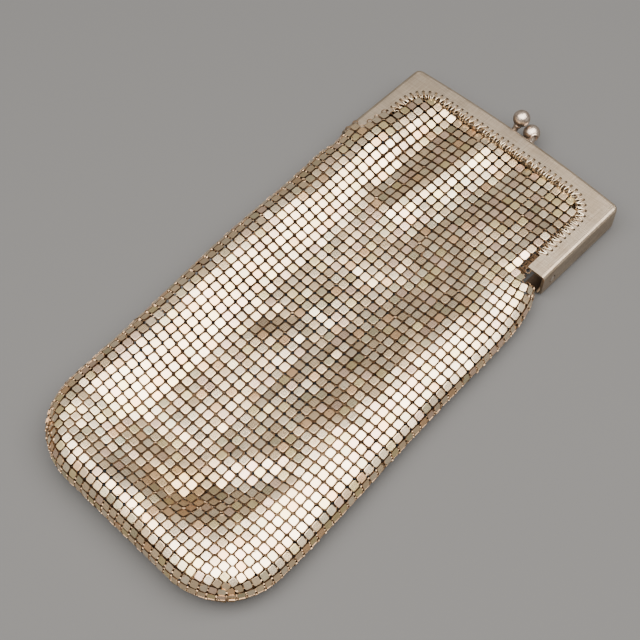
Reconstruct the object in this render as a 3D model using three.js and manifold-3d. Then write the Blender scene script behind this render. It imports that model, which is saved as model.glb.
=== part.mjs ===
// A long, flat purse of fine metal mesh on a hinged frame with a two-ball snap clasp,
// lying closed on its back. Millimetres, +Z up, the frame's bar towards +Y and the
// bag towards -Y. The finished group stands on Z = 0, centred on X and Y.

import * as THREE from "three";
import { mergeVertices } from "three/addons/utils/BufferGeometryUtils.js";
import Module from "manifold-3d";

const wasm = await Module();
wasm.setup();

function namedRows(columns, rows) {
  return rows.map((row) => Object.fromEntries(columns.map((name, i) => [name, row[i]])));
}

// Clearance between neighbouring pieces.
const CLEARANCE = 0.3;

// Frame: two nested channels of folded sheet, each a bar with two arms.
const FRAME_WIDTH = 78;
const FRAME_DEPTH = 9;
const ARM_LENGTH = 35;
const SHEET = 0.7;
const BAR_BAND = 5.2;
const BAR_BOW = 1.4;
const BAR_BOW_STEPS = 8;
const ARM_BAND = 6;
const FOLD_RADIUS = 1.2;
const OUTER_CORNER_RADIUS = 2.2;
const INNER_CORNER_RADIUS = 8.5;
const FRONT_FLANGE_LIFT = 1.2;
const BACK_FLANGE_HEIGHT = 6.2;
const BACK_FLANGE_CUTBACK = 1.5;

// Pierced row that the mesh is linked through.
const HOLE_DIAMETER = 0.95;
const HOLE_PITCH = 2;
const HOLE_TO_EDGE = 1.25;
const HOLE_END_MARGIN = 7;

// Hinge rivets through both flanges near the arm ends.
const RIVET_DIAMETER = 1.3;
const RIVET_END_DIAMETER = 1.9;
const RIVET_HEAD_DIAMETER = 2.6;
const RIVET_HEAD_THICKNESS = 0.5;
const RIVET_FROM_END = 4.5;
const RIVET_HEIGHT = 4.3;

// Snap clasp: a ball on a bent neck on each half.
const BALL_DIAMETER = 5.3;
const BALL_SPACING = 4.25;
const FRONT_BALL_REACH = 6.5;
const BACK_BALL_REACH = 6.2;
const FRONT_BALL_HEIGHT = 5;
const BACK_BALL_HEIGHT = 8.6;
const BALLS_OFFSET = -0.8;
const NECK_DIAMETER = 1.9;
const SHANK_DIAMETER = 1.4;
const FEET_SPACING = 7.5;
const FEET_OFFSET = 0.25;
const FOOT_DIAMETER = 3;
const FOOT_THICKNESS = 0.8;
const FRONT_FOOT_HEIGHT = 6.4;
const BACK_FOOT_HEIGHT = 3.3;
const NECK_BEND = 0.6;

// Mesh bag: measured flat, from the bar's outer edge to the closed end.
const BAG_WIDTH = 81;
const BAG_LENGTH = 167;
const BAG_THICKNESS = 13;
const BAG_CORNER_RADIUS = 20;
const BAG_WALL = 1.1;
const PANEL_LEVEL = 8.3;
const END_SWELL_LENGTH = 21;
const SHOULDER_LENGTH = 2.8;
const SHOULDER_TUCK = 1.9;

// Sections of the bag below the arms. down is a share of the free length, left and
// right are the side edges as shares of half the width. The crests of the two side
// rims and the hollow between them are shares of the swell, from the panel's level
// at the frame (0) to the full thickness (1), and hollowAt is where the hollow lies.
const SECTION_COLUMNS = ["down", "left", "right", "leftCrest", "hollow", "hollowAt", "rightCrest"];
const SECTIONS = namedRows(SECTION_COLUMNS, [
  [0.00, -0.880, 0.900, 0.02, -0.16, 0.16, 0.00],
  [0.03, -0.940, 0.970, 0.10, -0.17, 0.16, 0.06],
  [0.07, -0.965, 1.020, 0.24, -0.18, 0.16, 0.15],
  [0.13, -0.955, 1.050, 0.40, -0.18, 0.18, 0.27],
  [0.20, -0.940, 1.065, 0.54, -0.17, 0.20, 0.38],
  [0.34, -0.930, 1.075, 0.70, -0.15, 0.16, 0.50],
  [0.48, -0.900, 1.095, 0.78, -0.13, 0.08, 0.58],
  [0.64, -0.855, 1.125, 0.84, -0.08, 0.08, 0.68],
  [0.80, -0.825, 1.150, 0.92, 0.02, 0.12, 0.82],
  [1.00, -0.800, 1.150, 1.00, 0.10, 0.14, 1.00],
]);

// Soft folds and dents of the upper panel: straight from one end to the other.
// across is a share of half the width, down a share of the whole length, and width
// and height are shares of the full thickness. A negative height is a dent.
const FOLD_COLUMNS = ["fromAcross", "fromDown", "toAcross", "toDown", "width", "height"];
const FOLDS = namedRows(FOLD_COLUMNS, [
  [-0.69, 0.070, -0.66, 0.360, 0.34, 0.040],
  [-0.47, 0.060, -0.44, 0.260, 0.30, -0.045],
  [-0.24, 0.060, -0.30, 0.300, 0.32, 0.050],
  [0.10, 0.070, 0.02, 0.300, 0.42, -0.035],
  [0.72, 0.130, 0.70, 0.210, 0.24, 0.045],
  [0.70, 0.780, 0.36, 0.900, 0.34, -0.095],
  [0.36, 0.900, -0.14, 0.925, 0.32, -0.075],
  [0.30, 0.530, 0.27, 0.700, 0.16, 0.030],
  [-0.27, 0.600, -0.15, 0.560, 0.16, -0.045],
  [-0.66, 0.885, -0.46, 0.875, 0.15, -0.050],
]);

const HALF_FRAME = FRAME_WIDTH / 2;
const OPENING_HALF = HALF_FRAME - ARM_BAND;
const NEST_INSET = SHEET + CLEARANCE;
const MID_GAP = CLEARANCE / 2;
const RUN_OUT = FRAME_DEPTH;
const OUTSIDE_DETAIL = { rim: 4, middle: 14, down: 22 };
const INSIDE_DETAIL = { rim: 3, middle: 8, down: 12 };

const nickel = (colour, roughness) =>
  new THREE.MeshStandardMaterial({ color: colour, roughness, metalness: 0.9 });
const frameMetal = nickel(0xaaa196, 0.42);
const ballMetal = nickel(0xb3a493, 0.28);
const meshMetal = nickel(0xcfc0a6, 0.35);

// Manifold solid from a closed three.js geometry, and back.
function toSolid(geometry) {
  const bare = new THREE.BufferGeometry();
  bare.setAttribute("position", geometry.getAttribute("position"));
  bare.setIndex(geometry.getIndex());
  const merged = mergeVertices(bare, 1e-4);
  const index = merged.getIndex().array;
  const triangles = [];
  for (let i = 0; i < index.length; i += 3) {
    const [a, b, c] = [index[i], index[i + 1], index[i + 2]];
    if (a !== b && b !== c && c !== a) triangles.push(a, b, c);
  }
  return new wasm.Manifold(new wasm.Mesh({
    numProp: 3,
    vertProperties: Float32Array.from(merged.getAttribute("position").array),
    triVerts: Uint32Array.from(triangles),
  }));
}

function toGeometry(solid) {
  const mesh = solid.getMesh();
  const geometry = new THREE.BufferGeometry();
  geometry.setAttribute("position", new THREE.BufferAttribute(mesh.vertProperties, 3));
  geometry.setIndex(new THREE.BufferAttribute(mesh.triVerts, 1));
  geometry.computeVertexNormals();
  return geometry;
}

const joinAll = (solids) => solids.reduce((whole, piece) => whole.add(piece));

function cylinderSolid(radius, from, to, sides) {
  const axis = new THREE.Vector3().subVectors(to, from);
  const geometry = new THREE.CylinderGeometry(radius, radius, axis.length(), sides);
  const turn = new THREE.Quaternion().setFromUnitVectors(
    new THREE.Vector3(0, 1, 0), axis.clone().normalize());
  geometry.applyQuaternion(turn);
  const middle = new THREE.Vector3().addVectors(from, to).multiplyScalar(0.5);
  geometry.translate(middle.x, middle.y, middle.z);
  return toSolid(geometry);
}

function boxSolid(low, high) {
  const size = new THREE.Vector3().subVectors(high, low);
  const geometry = new THREE.BoxGeometry(size.x, size.y, size.z);
  geometry.translate(low.x + size.x / 2, low.y + size.y / 2, low.z + size.z / 2);
  return toSolid(geometry);
}

// How far the bar's outer edge bows out beyond its corners, at a place along it.
function barBow(x) {
  const reach = HALF_FRAME - OUTER_CORNER_RADIUS;
  return BAR_BOW * Math.max(1 - (x / reach) ** 2, 0);
}

function addBowedEdge(shape, to, level) {
  for (let i = 1; i <= BAR_BOW_STEPS; i += 1) {
    const x = to * (2 * i / BAR_BOW_STEPS - 1);
    shape.lineTo(x, level + barBow(x));
  }
}

// Plan of one frame half: a bar with two arms, its outer outline moved in by inset.
function bandShape(inset) {
  const half = HALF_FRAME - inset;
  const outer = Math.max(OUTER_CORNER_RADIUS - inset, SHEET / 2);
  const inner = INNER_CORNER_RADIUS;
  const shape = new THREE.Shape();
  shape.moveTo(-half, -ARM_LENGTH);
  shape.lineTo(-half, -inset - outer);
  shape.absarc(-half + outer, -inset - outer, outer, Math.PI, Math.PI / 2, true);
  addBowedEdge(shape, half - outer, -inset);
  shape.absarc(half - outer, -inset - outer, outer, Math.PI / 2, 0, true);
  shape.lineTo(half, -ARM_LENGTH);
  shape.lineTo(OPENING_HALF, -ARM_LENGTH);
  shape.lineTo(OPENING_HALF, -BAR_BAND - inner);
  shape.absarc(OPENING_HALF - inner, -BAR_BAND - inner, inner, 0, Math.PI / 2, false);
  shape.lineTo(-OPENING_HALF + inner, -BAR_BAND);
  shape.absarc(-OPENING_HALF + inner, -BAR_BAND - inner, inner, Math.PI / 2, Math.PI, false);
  shape.lineTo(-OPENING_HALF, -ARM_LENGTH);
  return shape;
}

function bandSolid(inset, bottom, top) {
  const geometry = new THREE.ExtrudeGeometry(bandShape(inset), {
    depth: top - bottom, bevelEnabled: false, curveSegments: 6,
  });
  geometry.translate(0, 0, bottom);
  return toSolid(geometry);
}

// Block over the whole frame's plan with its outer edges rounded by fold. It runs
// past the arm ends, so that only the outer edges are rounded.
function foldedBlock(inset, bottom, top, fold) {
  const half = HALF_FRAME - inset - fold;
  const corner = Math.max(OUTER_CORNER_RADIUS - inset - fold, SHEET / 4);
  const upper = -inset - fold;
  const shape = new THREE.Shape();
  shape.moveTo(-half, -ARM_LENGTH - RUN_OUT);
  shape.lineTo(-half, upper - corner);
  shape.absarc(-half + corner, upper - corner, corner, Math.PI, Math.PI / 2, true);
  addBowedEdge(shape, half - corner, upper);
  shape.absarc(half - corner, upper - corner, corner, Math.PI / 2, 0, true);
  shape.lineTo(half, -ARM_LENGTH - RUN_OUT);
  const geometry = new THREE.ExtrudeGeometry(shape, {
    depth: top - bottom - 2 * fold,
    bevelSize: fold,
    bevelThickness: fold,
    bevelSegments: 3,
    curveSegments: 4,
  });
  geometry.translate(0, 0, bottom + fold);
  return toSolid(geometry);
}

// Places of the pierced holes: along the opening's edge, from arm to arm.
function holePlaces() {
  const reach = OPENING_HALF + HOLE_TO_EDGE;
  const corner = INNER_CORNER_RADIUS + HOLE_TO_EDGE;
  const start = -ARM_LENGTH + HOLE_END_MARGIN;
  const bar = -BAR_BAND + HOLE_TO_EDGE;
  const line = new THREE.Path();
  line.moveTo(-reach, start);
  line.lineTo(-reach, bar - corner);
  line.absarc(-reach + corner, bar - corner, corner, Math.PI, Math.PI / 2, true);
  line.lineTo(reach - corner, bar);
  line.absarc(reach - corner, bar - corner, corner, Math.PI / 2, 0, true);
  line.lineTo(reach, start);
  return line.getSpacedPoints(Math.round(line.getLength() / HOLE_PITCH));
}

function holeCutters(bottom, top) {
  return joinAll(holePlaces().map(({ x, y }) => cylinderSolid(
    HOLE_DIAMETER / 2, new THREE.Vector3(x, y, bottom), new THREE.Vector3(x, y, top), 8)));
}

const rivetY = -ARM_LENGTH + RIVET_FROM_END;

// Hole across both flanges for a hinge rivet, on the side given by its sign.
function rivetHole(side, radius, fromInset, toInset) {
  return cylinderSolid(radius,
    new THREE.Vector3(side * (HALF_FRAME - fromInset), rivetY, RIVET_HEIGHT),
    new THREE.Vector3(side * (HALF_FRAME - toInset), rivetY, RIVET_HEIGHT), 12);
}

const footX = (side) => FEET_OFFSET + side * FEET_SPACING / 2;

// Notch in a bar's flange, open at its free edge, that the other half's clasp clears.
function claspNotch(side, front, back, bottom, top) {
  const gap = FOOT_DIAMETER / 2 + CLEARANCE;
  return boxSolid(
    new THREE.Vector3(footX(side) - gap, back + barBow(footX(side)), bottom - gap),
    new THREE.Vector3(footX(side) + gap, front + barBow(footX(side)), top + gap));
}

// Hole through a bar's flange for a clasp neck's shank.
function shankHole(side, height, face) {
  const bowed = face + barBow(footX(side));
  return cylinderSolid(SHANK_DIAMETER / 2 + CLEARANCE,
    new THREE.Vector3(footX(side), bowed + CLEARANCE, height),
    new THREE.Vector3(footX(side), bowed - SHEET - CLEARANCE, height), 12);
}

function frameFront() {
  const outer = foldedBlock(0, -FRAME_DEPTH, FRAME_DEPTH, FOLD_RADIUS);
  const channel = foldedBlock(SHEET, -FRAME_DEPTH, FRAME_DEPTH - SHEET, FOLD_RADIUS - SHEET);
  const band = bandSolid(0, FRONT_FLANGE_LIFT, FRAME_DEPTH);
  return band.intersect(outer).subtract(channel)
    .subtract(holeCutters(FRAME_DEPTH - 2 * SHEET, FRAME_DEPTH + SHEET))
    .subtract(rivetHole(-1, RIVET_END_DIAMETER / 2 + CLEARANCE, -SHEET, SHEET + MID_GAP))
    .subtract(rivetHole(1, RIVET_END_DIAMETER / 2 + CLEARANCE, -SHEET, SHEET + MID_GAP))
    .subtract(shankHole(1, FRONT_FOOT_HEIGHT, 0))
    .subtract(claspNotch(-1, CLEARANCE, -SHEET - MID_GAP, 0, BACK_FOOT_HEIGHT));
}

function frameBack() {
  const outer = foldedBlock(NEST_INSET, 0, 2 * FRAME_DEPTH, FOLD_RADIUS);
  const channel = foldedBlock(NEST_INSET + SHEET, SHEET, 2 * FRAME_DEPTH, FOLD_RADIUS - SHEET);
  const band = bandSolid(NEST_INSET, 0, BACK_FLANGE_HEIGHT);
  const cutback = boxSolid(
    new THREE.Vector3(-FRAME_WIDTH, -ARM_LENGTH - RUN_OUT, SHEET + CLEARANCE),
    new THREE.Vector3(FRAME_WIDTH, -ARM_LENGTH + BACK_FLANGE_CUTBACK, FRAME_DEPTH));
  return band.intersect(outer).subtract(channel)
    .subtract(holeCutters(-SHEET, 2 * SHEET))
    .subtract(cutback)
    .subtract(rivetHole(-1, RIVET_DIAMETER / 2 + CLEARANCE, 0, NEST_INSET + SHEET + CLEARANCE))
    .subtract(rivetHole(1, RIVET_DIAMETER / 2 + CLEARANCE, 0, NEST_INSET + SHEET + CLEARANCE))
    .subtract(shankHole(-1, BACK_FOOT_HEIGHT, -NEST_INSET))
    .subtract(claspNotch(1, 0, -NEST_INSET - SHEET - CLEARANCE, FRONT_FOOT_HEIGHT, FRAME_DEPTH));
}

// Stepped rivet, flush outside: its large end sits in the front flange, its shank
// passes through the back flange, and it is headed over on the inside.
function hingeRivet(side) {
  const inner = NEST_INSET + SHEET + CLEARANCE;
  const steps = [
    [RIVET_END_DIAMETER / 2, 0, SHEET],
    [RIVET_DIAMETER / 2, SHEET / 2, inner + RIVET_HEAD_THICKNESS / 2],
    [RIVET_HEAD_DIAMETER / 2, inner, inner + RIVET_HEAD_THICKNESS],
  ];
  return joinAll(steps.map(([radius, from, to]) => cylinderSolid(radius,
    new THREE.Vector3(side * (HALF_FRAME - from), rivetY, RIVET_HEIGHT),
    new THREE.Vector3(side * (HALF_FRAME - to), rivetY, RIVET_HEIGHT), 12)));
}

// Ball on a bent neck, with a foot against a bar's flange and a shank headed over
// behind it. face is the flange's outer face at the bar's corners.
function claspKnob(side, ballReach, ballHeight, footHeight, face) {
  const ball = new THREE.Vector3(BALLS_OFFSET + side * BALL_SPACING / 2, ballReach, ballHeight);
  const foot = new THREE.Vector3(footX(side), face + barBow(footX(side)) + CLEARANCE, footHeight);
  const out = new THREE.Vector3(0, FOOT_THICKNESS, 0);
  const behind = new THREE.Vector3(0, -SHEET - 2 * CLEARANCE, 0);
  const head = new THREE.Vector3(0, -RIVET_HEAD_THICKNESS, 0);
  const bend = new THREE.Vector3(foot.x, foot.y + (ball.y - foot.y) * NECK_BEND, footHeight);
  const path = new THREE.QuadraticBezierCurve3(foot, bend, ball);
  const round = new THREE.Shape().absarc(0, 0, NECK_DIAMETER / 2, 0, 2 * Math.PI, false);
  const neck = new THREE.ExtrudeGeometry(round, {
    steps: 7, extrudePath: path, curveSegments: 4,
  });
  const sphere = new THREE.SphereGeometry(BALL_DIAMETER / 2, 16, 11);
  sphere.translate(ball.x, ball.y, ball.z);
  const back = foot.clone().add(behind);
  return joinAll([
    toSolid(sphere),
    toSolid(neck),
    cylinderSolid(FOOT_DIAMETER / 2, foot, foot.clone().add(out), 12),
    cylinderSolid(SHANK_DIAMETER / 2, back.clone().add(head), foot.clone().add(out), 10),
    cylinderSolid(FOOT_DIAMETER / 2, back.clone().add(head), back, 12),
  ]);
}

const smooth = (t) => THREE.MathUtils.smoothstep(t, 0, 1);
const freeLength = BAG_LENGTH - ARM_LENGTH;

// Value of a section column at a distance down from the bar, through a smooth curve.
function sectionValue(column, down) {
  const share = THREE.MathUtils.clamp((down - ARM_LENGTH) / freeLength, 0, 1);
  const last = SECTIONS.length - 1;
  let i = 0;
  while (i < last - 1 && SECTIONS[i + 1].down < share) i += 1;
  const [a, b, c, d] = [i - 1, i, i + 1, i + 2]
    .map((k) => SECTIONS[THREE.MathUtils.clamp(k, 0, last)]);
  const span = c.down - b.down;
  const t = (share - b.down) / span;
  const slopeB = (c[column] - a[column]) / (c.down - a.down) * span;
  const slopeC = (d[column] - b[column]) / (d.down - b.down) * span;
  const t2 = t * t;
  const t3 = t2 * t;
  return (2 * t3 - 3 * t2 + 1) * b[column] + (t3 - 2 * t2 + t) * slopeB
    + (3 * t2 - 2 * t3) * c[column] + (t3 - t2) * slopeC;
}

const swellHeight = (share) => PANEL_LEVEL + share * (BAG_THICKNESS - PANEL_LEVEL);
const sideEdge = (column, down) => sectionValue(column, down) * BAG_WIDTH / 2;

// Sum of the folds and dents at a place on the upper panel.
function foldHeight(x, down) {
  const place = new THREE.Vector2(x, down);
  return FOLDS.reduce((sum, fold) => {
    const from = new THREE.Vector2(fold.fromAcross * BAG_WIDTH / 2, fold.fromDown * BAG_LENGTH);
    const to = new THREE.Vector2(fold.toAcross * BAG_WIDTH / 2, fold.toDown * BAG_LENGTH);
    const along = to.sub(from);
    const t = THREE.MathUtils.clamp(
      place.clone().sub(from).dot(along) / along.lengthSq(), 0, 1);
    const gap = place.distanceTo(from.add(along.multiplyScalar(t)));
    const width = fold.width * BAG_THICKNESS;
    return sum + fold.height * BAG_THICKNESS * Math.exp(-((gap / width) ** 2));
  }, 0);
}

// The soft bag's form at a place: how far in from the outline it lies, the height of
// the rim's crest beside it, and the height of the upper panel without the rim.
function bagForm(x, down) {
  const left = sideEdge("left", down);
  const right = sideEdge("right", down);
  const fromLeft = x - left;
  const fromRight = right - x;
  const fromEnd = BAG_LENGTH - down;
  const corner = BAG_CORNER_RADIUS;
  const nearSide = Math.min(fromLeft, fromRight);
  const inward = nearSide < corner && fromEnd < corner
    ? corner - Math.hypot(corner - nearSide, corner - fromEnd)
    : Math.min(nearSide, fromEnd);
  const across = THREE.MathUtils.clamp(fromLeft / (right - left), 0, 1);
  const crest = swellHeight(THREE.MathUtils.lerp(
    sectionValue("leftCrest", down), sectionValue("rightCrest", down), smooth(across)));
  const hollow = swellHeight(sectionValue("hollow", down));
  const hollowAt = sectionValue("hollowAt", down) * BAG_WIDTH / 2;
  const rim = crest / 2;
  const leftRise = smooth((fromLeft - rim) / (hollowAt - left - rim));
  const rightRise = smooth((fromRight - rim) / (right - hollowAt - rim));
  const endRise = smooth((fromEnd - rim) / END_SWELL_LENGTH);
  const hollowShare = leftRise * rightRise * endRise;
  const panel = crest - (crest - hollow) * hollowShare + foldHeight(x, down);
  return { inward, crest, panel };
}

// Upper and lower height of the bag, or of its inside where inset is the wall.
function bagHeights(x, down, inset) {
  const { inward, crest, panel } = bagForm(x, down);
  const rim = crest / 2 - inset;
  const reach = THREE.MathUtils.clamp((rim - (inward - inset)) / rim, 0, 1);
  const fall = rim * (1 - Math.sqrt(1 - reach * reach));
  const middle = crest / 2;
  return {
    upper: Math.max(panel - inset - fall, middle),
    lower: Math.min(inset + fall, middle),
  };
}

// Closed solid through a row of sections, each a line of upper and lower points.
function loftSolid(sections) {
  const count = sections[0].upper.length;
  const points = sections.flatMap(({ upper, lower }) => [...upper, ...lower]);
  const place = (row, side, i) => row * 2 * count + side * count + i;
  const index = [];
  const quad = (a, b, c, d) => index.push(a, b, c, a, c, d);
  for (let row = 0; row < sections.length - 1; row += 1) {
    for (let i = 0; i < count - 1; i += 1) {
      quad(place(row, 0, i), place(row + 1, 0, i), place(row + 1, 0, i + 1), place(row, 0, i + 1));
      quad(place(row, 1, i), place(row, 1, i + 1), place(row + 1, 1, i + 1), place(row + 1, 1, i));
    }
    const end = count - 1;
    quad(place(row, 0, 0), place(row, 1, 0), place(row + 1, 1, 0), place(row + 1, 0, 0));
    quad(place(row, 0, end), place(row + 1, 0, end), place(row + 1, 1, end), place(row, 1, end));
  }
  const last = sections.length - 1;
  for (let i = 0; i < count - 1; i += 1) {
    quad(place(0, 0, i), place(0, 0, i + 1), place(0, 1, i + 1), place(0, 1, i));
    quad(place(last, 0, i), place(last, 1, i), place(last, 1, i + 1), place(last, 0, i + 1));
  }
  const geometry = new THREE.BufferGeometry().setFromPoints(points);
  geometry.setIndex(index);
  return toSolid(geometry);
}

// Shares across a section: close together on the rounded rims, even between them.
function acrossShares(width, rim, detail) {
  const rimShares = Array.from({ length: detail.rim },
    (_, i) => (1 - Math.cos(i / detail.rim * Math.PI / 2)) * rim / width);
  const from = rim / width;
  const middle = Array.from({ length: detail.middle + 1 },
    (_, i) => from + (1 - 2 * from) * i / detail.middle);
  return [...rimShares, ...middle, ...rimShares.map((share) => 1 - share).reverse()];
}

// Distances down the bag: from the arm ends, and close together on the end's rim.
function bodyStations(inset, detail) {
  const start = ARM_LENGTH + CLEARANCE + inset;
  const rim = BAG_THICKNESS / 2 - inset;
  const end = BAG_LENGTH - inset;
  const even = Array.from({ length: detail.down },
    (_, i) => start + (end - rim - start) * i / detail.down);
  const rimStart = 0.16;
  const round = Array.from({ length: detail.rim + 1 }, (_, i) => {
    const turn = 1 - (1 - rimStart) * i / detail.rim;
    return end - rim * (1 - Math.cos(turn * Math.PI / 2));
  });
  return [...even, ...round];
}

// The free bag below the arms, solid, its surface moved in by inset.
function bodySolid(inset, detail) {
  return loftSolid(bodyStations(inset, detail).map((down) => {
    const fromEnd = BAG_LENGTH - down;
    const corner = BAG_CORNER_RADIUS;
    const round = fromEnd < corner
      ? corner - Math.sqrt((corner - inset) ** 2 - (corner - fromEnd) ** 2)
      : inset;
    const shoulder = ARM_LENGTH + CLEARANCE + inset + SHOULDER_LENGTH - down;
    const tuck = SHOULDER_TUCK * Math.max(shoulder / SHOULDER_LENGTH, 0) ** 2;
    const left = sideEdge("left", down) + round + tuck;
    const width = sideEdge("right", down) - round - tuck - left;
    const rim = bagForm(left, down).crest / 2;
    const places = acrossShares(width, rim, detail).map((share) => left + share * width);
    const heights = places.map((x) => bagHeights(x, down, inset));
    return {
      upper: places.map((x, i) => new THREE.Vector3(x, -down, heights[i].upper)),
      lower: places.map((x, i) => new THREE.Vector3(x, -down, heights[i].lower)),
    };
  }));
}

// The two panels' space inside the frame, of the half width given for each place
// down the bag, its upper and lower faces moved in by inset.
function panelSolid(halfWidth, from, to, inset, steps) {
  return loftSolid(Array.from({ length: steps + 1 }, (_, row) => {
    const eased = 1 - Math.cos(row / steps * Math.PI / 2);
    const down = from + (to - from) * eased;
    const half = halfWidth(down);
    const places = Array.from({ length: OUTSIDE_DETAIL.middle + 1 },
      (_, i) => half * (2 * i / OUTSIDE_DETAIL.middle - 1));
    return {
      upper: places.map((x) => new THREE.Vector3(x, -down, bagForm(x, down).panel - inset)),
      lower: places.map((x) => new THREE.Vector3(x, -down, inset)),
    };
  }));
}

// Half width of the panels inside the frame's opening, round at the bar's corners.
function openingWidth(down) {
  const corner = INNER_CORNER_RADIUS - CLEARANCE;
  const fromBar = down - BAR_BAND - CLEARANCE;
  const half = OPENING_HALF - CLEARANCE;
  return fromBar < corner
    ? half - corner + Math.sqrt(corner * corner - (corner - fromBar) ** 2)
    : half;
}

function meshBag() {
  const bar = BAR_BAND + CLEARANCE;
  const shoulder = ARM_LENGTH + CLEARANCE;
  const inside = OPENING_HALF - CLEARANCE - BAG_WALL;
  const outside = bodySolid(0, OUTSIDE_DETAIL)
    .add(panelSolid(openingWidth, bar, shoulder + CLEARANCE, 0, 12));
  const mouth = panelSolid(() => FRAME_WIDTH, 0, shoulder - MID_GAP, BAG_WALL, 6);
  const throat = panelSolid(() => inside, ARM_LENGTH - BAG_WALL, shoulder + 2 * BAG_WALL, BAG_WALL, 2);
  return outside.subtract(bodySolid(BAG_WALL, INSIDE_DETAIL)).subtract(mouth).subtract(throat);
}

function piece(name, solid, material) {
  const mesh = new THREE.Mesh(toGeometry(solid), material);
  mesh.name = name;
  return mesh;
}

const purse = new THREE.Group();
purse.add(
  piece("frame_front", frameFront(), frameMetal),
  piece("frame_back", frameBack(), frameMetal),
  piece("hinge_rivet_left", hingeRivet(-1), frameMetal),
  piece("hinge_rivet_right", hingeRivet(1), frameMetal),
  piece("clasp_knob_front", claspKnob(
    1, FRONT_BALL_REACH, FRONT_BALL_HEIGHT, FRONT_FOOT_HEIGHT, 0), ballMetal),
  piece("clasp_knob_back", claspKnob(
    -1, BACK_BALL_REACH, BACK_BALL_HEIGHT, BACK_FOOT_HEIGHT, -NEST_INSET), ballMetal),
  piece("mesh_bag", meshBag(), meshMetal),
);

const bounds = new THREE.Box3().setFromObject(purse);
const centre = bounds.getCenter(new THREE.Vector3());
purse.position.set(-centre.x, -centre.y, -bounds.min.z);

export default purse;
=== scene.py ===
# A long purse of fine metal mesh, lying closed on its back: a frame of folded sheet
# with a snap clasp of two balls, and a soft bag of small linked plates. Lengths in the
# sections are in millimetres, and MM turns them into the scene's metres.

import math

import bmesh
import bpy
import numpy as np
from mathutils import Matrix, Vector


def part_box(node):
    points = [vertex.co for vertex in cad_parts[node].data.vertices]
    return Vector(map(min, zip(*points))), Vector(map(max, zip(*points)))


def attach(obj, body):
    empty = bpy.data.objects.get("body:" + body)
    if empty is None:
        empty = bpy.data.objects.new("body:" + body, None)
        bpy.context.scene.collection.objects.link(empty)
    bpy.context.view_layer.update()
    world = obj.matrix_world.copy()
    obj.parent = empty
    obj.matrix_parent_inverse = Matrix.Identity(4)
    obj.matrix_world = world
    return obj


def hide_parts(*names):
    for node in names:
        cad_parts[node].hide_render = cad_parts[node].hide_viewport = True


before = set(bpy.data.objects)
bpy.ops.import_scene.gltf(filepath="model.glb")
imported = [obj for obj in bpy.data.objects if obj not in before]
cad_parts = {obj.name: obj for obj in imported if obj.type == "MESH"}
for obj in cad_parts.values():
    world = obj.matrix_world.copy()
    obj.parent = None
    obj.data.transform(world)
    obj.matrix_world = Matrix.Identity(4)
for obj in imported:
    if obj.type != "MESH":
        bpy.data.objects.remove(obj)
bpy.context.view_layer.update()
MM = 0.001


# Frame halves. Each is one folded channel of nickel-coloured sheet, a bar with two
# arms, brushed both ways across its flat face.
# Brown tarnish clouds it, and the inside of the channel is painted near black, as painted shade
# over some real tarnish.

def add_node(tree, kind, inputs=None, **settings):
    made = tree.nodes.new("ShaderNode" + kind)
    for name, value in settings.items():
        setattr(made, name, value)
    for name, value in (inputs or {}).items():
        if isinstance(value, bpy.types.NodeSocket):
            tree.links.new(value, made.inputs[name])
        else:
            made.inputs[name].default_value = value
    return made


def new_group(name, inputs, outputs):
    group = bpy.data.node_groups.new(name, "ShaderNodeTree")
    for socket, kind, value in inputs:
        made = group.interface.new_socket(socket, in_out="INPUT", socket_type=kind)
        made.default_value = value
    for socket, kind in outputs:
        group.interface.new_socket(socket, in_out="OUTPUT", socket_type=kind)
    return group, group.nodes.new("NodeGroupInput"), group.nodes.new("NodeGroupOutput")


def noise_at(tree, stretch, scale, detail, places):
    mapping = add_node(tree, "Mapping", {"Vector": places, "Scale": stretch})
    return add_node(tree, "TexNoise", {"Vector": mapping.outputs["Vector"],
                                       "Scale": scale, "Detail": detail})


def brushing_group():
    """Fine scratches in two crossing directions, as a height and a mask."""
    group, given, result = new_group(
        "cross_brushing",
        [("Scale", "NodeSocketFloat", 1.0)],
        [("Height", "NodeSocketFloat"), ("Mask", "NodeSocketFloat")])
    places = add_node(group, "TexCoord").outputs["Object"]
    scaled = add_node(group, "VectorMath", {0: places}, operation="SCALE")
    group.links.new(given.outputs["Scale"], scaled.inputs["Scale"])
    along = noise_at(group, (120, 3200, 900), 1.0, 3.0, scaled.outputs["Vector"])
    across = noise_at(group, (3200, 120, 900), 1.0, 3.0, scaled.outputs["Vector"])
    patches = noise_at(group, (90, 90, 90), 1.0, 2.0, scaled.outputs["Vector"])
    both = add_node(group, "Math", {0: along.outputs["Fac"], 1: across.outputs["Fac"]},
                    operation="ADD")
    mask = add_node(group, "Math", {0: both.outputs["Value"], 1: patches.outputs["Fac"]},
                    operation="MULTIPLY")
    group.links.new(both.outputs["Value"], result.inputs["Height"])
    group.links.new(mask.outputs["Value"], result.inputs["Mask"])
    return group


def tarnish_group():
    """Cloudy brown tarnish in patches, as a mask."""
    group, given, result = new_group(
        "cloudy_tarnish",
        [("Scale", "NodeSocketFloat", 90.0), ("Low", "NodeSocketFloat", 0.45),
         ("High", "NodeSocketFloat", 0.75)],
        [("Mask", "NodeSocketFloat")])
    places = add_node(group, "TexCoord").outputs["Object"]
    clouds = add_node(group, "TexNoise", {"Vector": places, "Detail": 5.0, "Roughness": 0.6})
    group.links.new(given.outputs["Scale"], clouds.inputs["Scale"])
    level = add_node(group, "MapRange", {"Value": clouds.outputs["Fac"]},
                     interpolation_type="SMOOTHSTEP")
    group.links.new(given.outputs["Low"], level.inputs["From Min"])
    group.links.new(given.outputs["High"], level.inputs["From Max"])
    group.links.new(level.outputs["Result"], result.inputs["Mask"])
    return group


def place_group(tree, group, values):
    made = tree.nodes.new("ShaderNodeGroup")
    made.node_tree = group
    for name, value in values.items():
        made.inputs[name].default_value = value
    return made


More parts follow.
